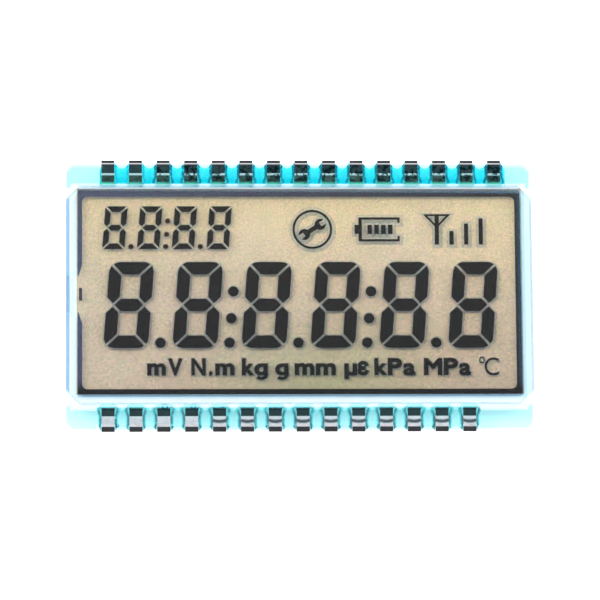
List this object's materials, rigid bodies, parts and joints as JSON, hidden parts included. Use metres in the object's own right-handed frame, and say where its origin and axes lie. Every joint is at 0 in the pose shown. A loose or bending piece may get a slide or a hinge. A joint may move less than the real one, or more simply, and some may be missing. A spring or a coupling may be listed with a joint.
{
  "type": "segment lcd display",
  "caption": "Bare reflective glass segment display with leaning digits and symbols, standing on two rows of clip pins under resin.",
  "frame": {"origin": "middle of the foot print, in the plane of the pin tips", "axes": "+X along the pin rows, +Y towards the longer pin row and the top of the digits, +Z out of the display face"},
  "size_m": [0.0428, 0.0252, 0.0064],
  "materials": {
    "front_glass": "polished float glass",
    "rear_glass": "polished float glass",
    "polariser": "clear grey film",
    "reflector": "fine-grained matt foil",
    "liquid_crystal": "clear fluid",
    "segment_film": "dark image",
    "seal": "cured adhesive",
    "port_plug": "cured resin",
    "resin": "clear blue-green resin",
    "pin_plating": "bright tin plating"
  },
  "bodies": {
    "root": {"battery_symbol": "segment_film", "front_glass": "front_glass", "front_polariser": "polariser", "large_colons": "segment_film", "large_digit_1": "segment_film", "large_digit_2": "segment_film", "large_digit_3": "segment_film", "large_digit_4": "segment_film", "large_digit_5": "segment_film", "large_digit_6": "segment_film", "large_points": "segment_film", "liquid_crystal": "liquid_crystal", "perimeter_seal": "seal", "pin_bottom_01": "pin_plating", "pin_bottom_02": "pin_plating", "pin_bottom_03": "pin_plating", "pin_bottom_04": "pin_plating", "pin_bottom_05": "pin_plating", "pin_bottom_06": "pin_plating", "pin_bottom_07": "pin_plating", "pin_bottom_08": "pin_plating", "pin_bottom_09": "pin_plating", "pin_bottom_10": "pin_plating", "pin_bottom_11": "pin_plating", "pin_bottom_12": "pin_plating", "pin_bottom_13": "pin_plating", "pin_bottom_14": "pin_plating", "pin_top_01": "pin_plating", "pin_top_02": "pin_plating", "pin_top_03": "pin_plating", "pin_top_04": "pin_plating", "pin_top_05": "pin_plating", "pin_top_06": "pin_plating", "pin_top_07": "pin_plating", "pin_top_08": "pin_plating", "pin_top_09": "pin_plating", "pin_top_10": "pin_plating", "pin_top_11": "pin_plating", "pin_top_12": "pin_plating", "pin_top_13": "pin_plating", "pin_top_14": "pin_plating", "pin_top_15": "pin_plating", "port_plug": "port_plug", "rear_glass": "rear_glass", "rear_polariser": "polariser", "reflector": "reflector", "resin_bead_bottom": "resin", "resin_bead_top": "resin", "signal_symbol": "segment_film", "small_colon": "segment_film", "small_digit_1": "segment_film", "small_digit_2": "segment_film", "small_digit_3": "segment_film", "small_digit_4": "segment_film", "small_points": "segment_film", "spanner_symbol": "segment_film"}
  },
  "joints": []
}
